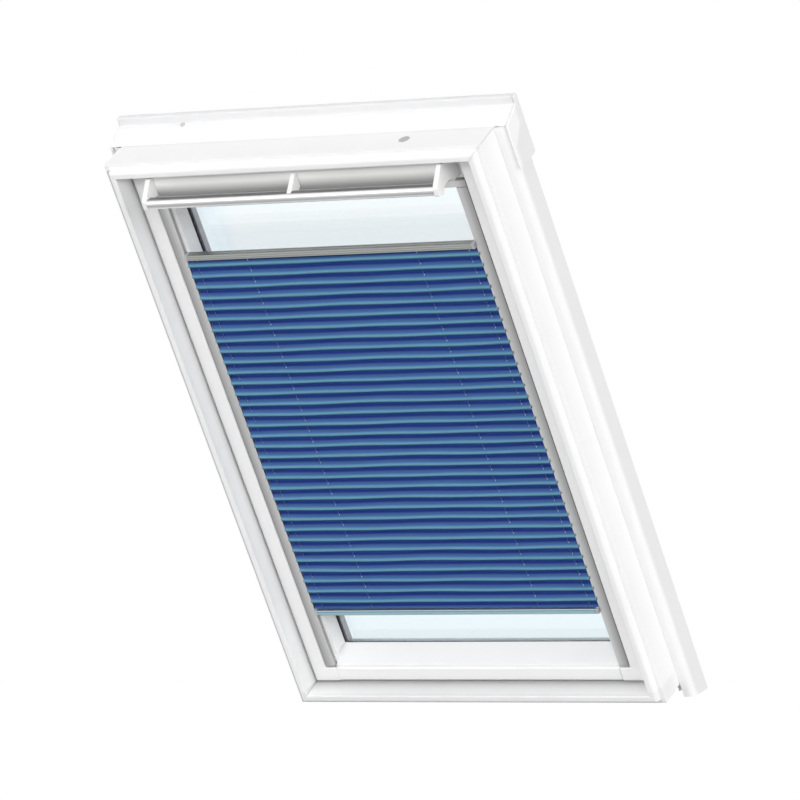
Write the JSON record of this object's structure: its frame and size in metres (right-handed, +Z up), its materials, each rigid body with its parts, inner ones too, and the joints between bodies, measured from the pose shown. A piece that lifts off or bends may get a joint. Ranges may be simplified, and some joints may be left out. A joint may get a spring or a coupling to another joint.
{
  "type": "roof window with pleated blind",
  "caption": "Centre-pivot roof window at a steep pitch with a top control bar and vent flap, and a horizontally pleated blind on two rails in side channels.",
  "frame": {"origin": "middle of the flat outer face of the frame's sill, 55 mm behind the room-side lip", "axes": "+Z up, +X to the right as seen from the room, +Y from the room to the outside; the window leans at a 55 degree pitch, its head towards -Y"},
  "size_m": [0.828, 0.8029, 1.0676],
  "materials": {
    "frame_white": "smooth white coating, satin sheen",
    "cover_grey": "pale painted sheet, matt",
    "channel_aluminium": "satin anodised",
    "bright_aluminium": "fine brushed, bright",
    "cream_plastic": "warm white, fine grain",
    "white_plastic": "moulded, satin",
    "grey_plastic": "moulded grey",
    "glass": "clear, faintly blue",
    "rubber": "matt black",
    "spacer_metal": "dull grey",
    "steel": "zinc plated",
    "blue_fabric": "pleated blue cloth",
    "cord_blue": "thin braided cord"
  },
  "bodies": {
    "frame": {"frame_head": "frame_white", "frame_sill": "frame_white", "frame_jamb_left": "frame_white", "frame_jamb_right": "frame_white", "pivot_plate_left": "steel", "pivot_plate_right": "steel", "frame_seal": "rubber", "striker_plate": "steel", "head_plug": "grey_plastic", "side_cover_left": "cover_grey", "side_cover_right": "cover_grey", "top_casing": "cover_grey", "casing_end_left": "cover_grey", "casing_end_right": "cover_grey", "sill_cover": "cover_grey", "casing_screw": "steel"},
    "sash": {"sash_top_rail": "frame_white", "sash_bottom_rail": "frame_white", "sash_stile_left": "frame_white", "sash_stile_right": "frame_white", "inner_pane": "glass", "outer_pane": "glass", "glazing_gasket": "rubber", "glass_spacer": "spacer_metal", "glass_edge_seal": "rubber", "sash_cover_left": "cover_grey", "sash_cover_right": "cover_grey", "sash_cover_top": "cover_grey", "sash_cover_bottom": "cover_grey", "pivot_bush_left": "grey_plastic", "pivot_bush_right": "grey_plastic", "side_channel_left": "channel_aluminium", "side_channel_right": "channel_aluminium", "channel_head_strip": "channel_aluminium", "latch_case": "steel", "bolt_case": "grey_plastic"},
    "control": {"control_bar": "bright_aluminium", "vent_flap": "cream_plastic", "bracket_left": "white_plastic", "bracket_middle": "white_plastic", "bracket_right": "white_plastic"},
    "claw": {"latch_claw": "steel"},
    "bolt": {"barrel_bolt": "steel"},
    "blind_top": {"blind_top_rail": "bright_aluminium", "blind_top_rail_cap_left": "grey_plastic", "blind_top_rail_cap_right": "grey_plastic", "pleated_fabric": "blue_fabric", "pleat_cord_1": "cord_blue", "pleat_cord_2": "cord_blue", "pleat_cord_3": "cord_blue", "pleat_cord_4": "cord_blue"},
    "blind_bottom": {"blind_bottom_rail": "bright_aluminium", "blind_bottom_rail_cap_left": "grey_plastic", "blind_bottom_rail_cap_right": "grey_plastic"}
  },
  "joints": [
    {"name": "sash_pivot", "type": "hinge", "parent": "frame", "child": "sash", "pos_m": [0, -0.32391, 0.49223], "axis": [1, 0, 0], "range_deg": [0, 160]},
    {"name": "control_bar_hinge", "type": "hinge", "parent": "sash", "child": "control", "pos_m": [0, -0.64898, 0.89197], "axis": [1, 0, 0], "range_deg": [0, 35]},
    {"name": "latch_claw_hinge", "type": "hinge", "parent": "sash", "child": "claw", "pos_m": [0, -0.64876, 0.9152], "axis": [1, 0, 0], "range_deg": [0, 21]},
    {"name": "barrel_bolt_slide", "type": "slide", "parent": "sash", "child": "bolt", "axis": [0, -0.5736, 0.8192], "range_m": [0, 0.012]},
    {"name": "top_rail_slide", "type": "slide", "parent": "sash", "child": "blind_top", "axis": [0, -0.5736, 0.8192], "range_m": [-0.112, 0.11]},
    {"name": "bottom_rail_slide", "type": "slide", "parent": "blind_top", "child": "blind_bottom", "axis": [0, -0.5736, 0.8192], "range_m": [0, 0.68], "deforming": ["pleated_fabric", "pleat_cord_1", "pleat_cord_2", "pleat_cord_3", "pleat_cord_4"]}
  ],
  "couplings": [
    {"joint": "latch_claw_hinge", "follows": "control_bar_hinge", "ratio": 0.6}
  ]
}
